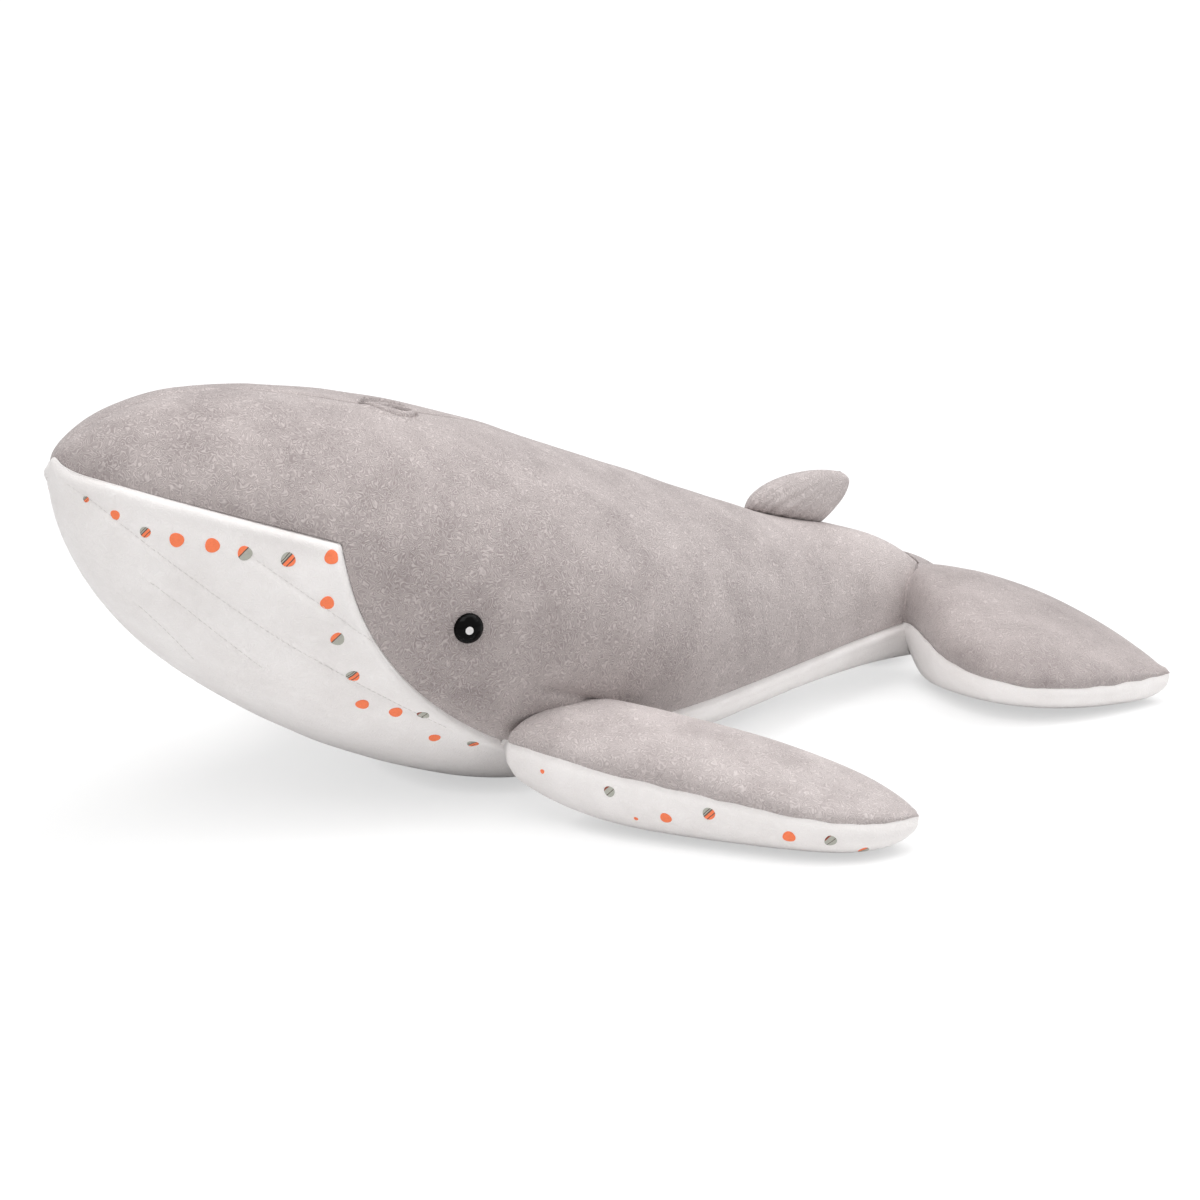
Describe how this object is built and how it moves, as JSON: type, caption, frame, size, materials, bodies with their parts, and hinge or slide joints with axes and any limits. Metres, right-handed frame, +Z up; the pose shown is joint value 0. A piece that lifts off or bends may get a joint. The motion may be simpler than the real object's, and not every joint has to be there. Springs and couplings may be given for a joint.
{
  "type": "plush whale",
  "caption": "Stuffed toy baleen whale lying on its belly, grey plush above and white below, with sewn flippers, flukes and dorsal fin that flex at their root seams and domed safety eyes.",
  "frame": {"origin": "on the floor under the middle of the whale's box", "axes": "+X from the snout towards the flukes, -Y towards the left flipper, +Z up"},
  "size_m": [0.6358, 0.5112, 0.2177],
  "materials": {
    "plush_grey": "short crinkled grey plush",
    "plush_white": "short smooth white plush with printed spots at the throat and flippers",
    "filling": "loose polyester fibre",
    "eye": "polished black dome",
    "washer": "natural moulded plastic"
  },
  "bodies": {
    "body": {"belly_panel": "plush_white", "back_panel_left": "plush_grey", "back_panel_right": "plush_grey", "body_filling": "filling", "eye_left": "eye", "eye_right": "eye", "eye_washer_left": "washer", "eye_washer_right": "washer", "blowhole_fold_left": "plush_grey", "blowhole_fold_right": "plush_grey"},
    "dorsal_fin": {"dorsal_fin_panel_left": "plush_grey", "dorsal_fin_panel_right": "plush_grey", "dorsal_fin_filling": "filling"},
    "flipper_left": {"flipper_left_top": "plush_grey", "flipper_left_underside": "plush_white", "flipper_left_filling": "filling"},
    "flipper_right": {"flipper_right_top": "plush_grey", "flipper_right_underside": "plush_white", "flipper_right_filling": "filling"},
    "fluke_left": {"fluke_left_top": "plush_grey", "fluke_left_underside": "plush_white", "fluke_left_filling": "filling"},
    "fluke_right": {"fluke_right_top": "plush_grey", "fluke_right_underside": "plush_white", "fluke_right_filling": "filling"}
  },
  "joints": [
    {"name": "dorsal_fin_sway", "type": "hinge", "parent": "body", "child": "dorsal_fin", "pos_m": [0.11025, 0, 0.11867], "axis": [0.9632, 0, -0.2687], "range_deg": [-30, 30], "stiffness_Nm_per_rad": 0.02},
    {"name": "flipper_left_flap", "type": "hinge", "parent": "body", "child": "flipper_left", "pos_m": [-0.08502, -0.10615, 0.04238], "axis": [-0.9992, 0.0404, 0], "range_deg": [-35, 30], "stiffness_Nm_per_rad": 0.15},
    {"name": "flipper_right_flap", "type": "hinge", "parent": "body", "child": "flipper_right", "pos_m": [-0.08502, 0.10615, 0.04238], "axis": [0.9992, 0.0404, 0], "range_deg": [-35, 30], "stiffness_Nm_per_rad": 0.15},
    {"name": "fluke_left_flap", "type": "hinge", "parent": "body", "child": "fluke_left", "pos_m": [0.22745, -0.01795, 0.038], "axis": [-0.77, -0.638, 0], "range_deg": [-20, 20], "stiffness_Nm_per_rad": 0.2},
    {"name": "fluke_right_flap", "type": "hinge", "parent": "body", "child": "fluke_right", "pos_m": [0.22745, 0.01795, 0.038], "axis": [0.77, -0.638, 0], "range_deg": [-20, 20], "stiffness_Nm_per_rad": 0.2}
  ]
}
